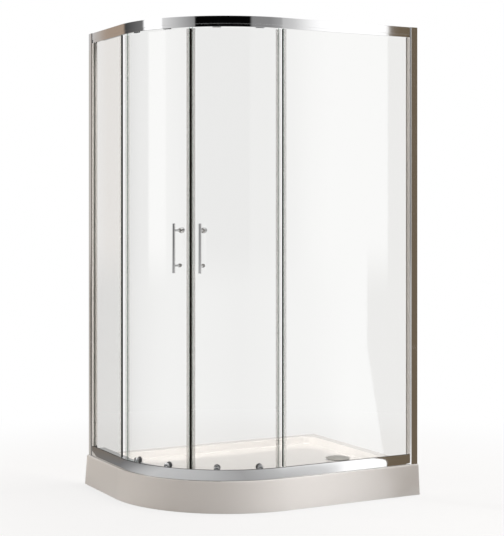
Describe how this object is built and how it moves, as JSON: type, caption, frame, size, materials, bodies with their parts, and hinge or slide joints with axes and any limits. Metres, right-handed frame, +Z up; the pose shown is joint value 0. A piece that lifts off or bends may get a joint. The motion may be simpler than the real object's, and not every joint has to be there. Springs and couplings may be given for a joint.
{
  "type": "quadrant shower enclosure",
  "caption": "Offset quadrant shower enclosure: two fixed panes, two curved sliding doors with bar handles between chrome rails, on a raised white tray with a waste.",
  "frame": {"origin": "on the floor under the middle of the tray's bounding rectangle", "axes": "+X along the long side towards the right wall, +Y from the front towards the back wall, +Z up"},
  "size_m": [1.2, 0.9, 2.03],
  "materials": {
    "tray_acrylic": "gloss white",
    "board": "raw board",
    "zinc": "zinc plated",
    "chrome": "polished",
    "clear_glass": "clear toughened",
    "clear_seal": "clear flexible strip",
    "dark_seal": "matt black",
    "magnet": "matt dark brown",
    "rubber": "matt black",
    "nylon": "satin grey nylon",
    "waste_plastic": "moulded white",
    "steel_pin": "turned steel"
  },
  "bodies": {
    "frame": {"tray_shell": "tray_acrylic", "tray_base_board": "board", "tray_legs": "zinc", "tray_foot_pads": "rubber", "waste_body": "waste_plastic", "waste_outlet_nut": "waste_plastic", "waste_gasket": "rubber", "waste_flange": "chrome", "top_rail": "chrome", "bottom_rail": "chrome", "wall_channel_right": "chrome", "post_right": "chrome", "fixed_glass_right": "clear_glass", "glazing_gasket_right": "clear_seal", "edge_seal_right": "clear_seal", "overlap_lip_right": "dark_seal", "wall_channel_left": "chrome", "post_left": "chrome", "fixed_glass_left": "clear_glass", "glazing_gasket_left": "clear_seal", "edge_seal_left": "clear_seal", "overlap_lip_left": "dark_seal", "frame_screws": "zinc", "end_brackets": "zinc", "glazing_packers": "clear_seal", "door_stops": "rubber"},
    "waste_insert": {"waste_cover": "chrome", "waste_dip_tube": "waste_plastic"},
    "door_right": {"door_glass_right": "clear_glass", "magnetic_seal_right": "clear_seal", "magnet_strip_right": "magnet", "trailing_seal_right": "clear_seal", "handle_bar_right": "chrome", "handle_posts_right": "chrome", "handle_bushes_right": "clear_seal", "inner_knobs_right": "chrome", "top_hangers_right": "zinc", "low_carriers_right": "steel_pin", "low_caps_right": "chrome"},
    "door_left": {"door_glass_left": "clear_glass", "magnetic_seal_left": "clear_seal", "magnet_strip_left": "magnet", "trailing_seal_left": "clear_seal", "handle_bar_left": "chrome", "handle_posts_left": "chrome", "handle_bushes_left": "clear_seal", "inner_knobs_left": "chrome", "top_hangers_left": "zinc", "low_carriers_left": "steel_pin", "low_caps_left": "chrome"},
    "top_roller_trailing_right": {"top_wheel_trailing_right": "nylon"},
    "low_roller_trailing_right": {"low_wheel_trailing_right": "nylon"},
    "top_roller_leading_right": {"top_wheel_leading_right": "nylon"},
    "low_roller_leading_right": {"low_wheel_leading_right": "nylon"},
    "top_roller_trailing_left": {"top_wheel_trailing_left": "nylon"},
    "low_roller_trailing_left": {"low_wheel_trailing_left": "nylon"},
    "top_roller_leading_left": {"top_wheel_leading_left": "nylon"},
    "low_roller_leading_left": {"low_wheel_leading_left": "nylon"}
  },
  "joints": [
    {"name": "door_right_turn", "type": "hinge", "parent": "frame", "child": "door_right", "pos_m": [0.00078, 0.33725, 1.08], "axis": [0, 0, 1], "range_deg": [0, 21.25]},
    {"name": "top_roller_trailing_right_spin", "type": "hinge", "parent": "door_right", "child": "top_roller_trailing_right", "pos_m": [-0.15474, -0.37721, 2.012], "axis": [0.1822, 0.9833, 0], "continuous": true},
    {"name": "low_roller_trailing_right_spin", "type": "hinge", "parent": "door_right", "child": "low_roller_trailing_right", "pos_m": [-0.15474, -0.37721, 0.177], "axis": [0.1822, 0.9833, 0], "continuous": true},
    {"name": "top_roller_leading_right_spin", "type": "hinge", "parent": "door_right", "child": "top_roller_leading_right", "pos_m": [-0.31641, -0.31434, 2.012], "axis": [0.5299, 0.848, 0], "continuous": true},
    {"name": "low_roller_leading_right_spin", "type": "hinge", "parent": "door_right", "child": "low_roller_leading_right", "pos_m": [-0.31641, -0.31434, 0.177], "axis": [0.5299, 0.848, 0], "continuous": true},
    {"name": "door_left_turn", "type": "hinge", "parent": "frame", "child": "door_left", "pos_m": [0.18725, 0.15078, 1.08], "axis": [0, 0, -1], "range_deg": [0, 21.25]},
    {"name": "top_roller_trailing_left_spin", "type": "hinge", "parent": "door_left", "child": "top_roller_trailing_left", "pos_m": [-0.52721, -0.00474, 2.012], "axis": [-0.9833, -0.1822, 0], "continuous": true},
    {"name": "low_roller_trailing_left_spin", "type": "hinge", "parent": "door_left", "child": "low_roller_trailing_left", "pos_m": [-0.52721, -0.00474, 0.177], "axis": [-0.9833, -0.1822, 0], "continuous": true},
    {"name": "top_roller_leading_left_spin", "type": "hinge", "parent": "door_left", "child": "top_roller_leading_left", "pos_m": [-0.46434, -0.16641, 2.012], "axis": [-0.848, -0.5299, 0], "continuous": true},
    {"name": "low_roller_leading_left_spin", "type": "hinge", "parent": "door_left", "child": "low_roller_leading_left", "pos_m": [-0.46434, -0.16641, 0.177], "axis": [-0.848, -0.5299, 0], "continuous": true},
    {"name": "waste_insert_lift", "type": "slide", "parent": "frame", "child": "waste_insert", "axis": [0, 0, 1], "range_m": [0, 0.08]}
  ],
  "couplings": [
    {"joint": "top_roller_trailing_right_spin", "follows": "door_right_turn", "ratio": 73.858},
    {"joint": "low_roller_trailing_right_spin", "follows": "door_right_turn", "ratio": 52.604},
    {"joint": "top_roller_leading_right_spin", "follows": "door_right_turn", "ratio": 73.202},
    {"joint": "low_roller_leading_right_spin", "follows": "door_right_turn", "ratio": 52.136},
    {"joint": "top_roller_trailing_left_spin", "follows": "door_left_turn", "ratio": 73.858},
    {"joint": "low_roller_trailing_left_spin", "follows": "door_left_turn", "ratio": 52.604},
    {"joint": "top_roller_leading_left_spin", "follows": "door_left_turn", "ratio": 73.202},
    {"joint": "low_roller_leading_left_spin", "follows": "door_left_turn", "ratio": 52.136}
  ]
}
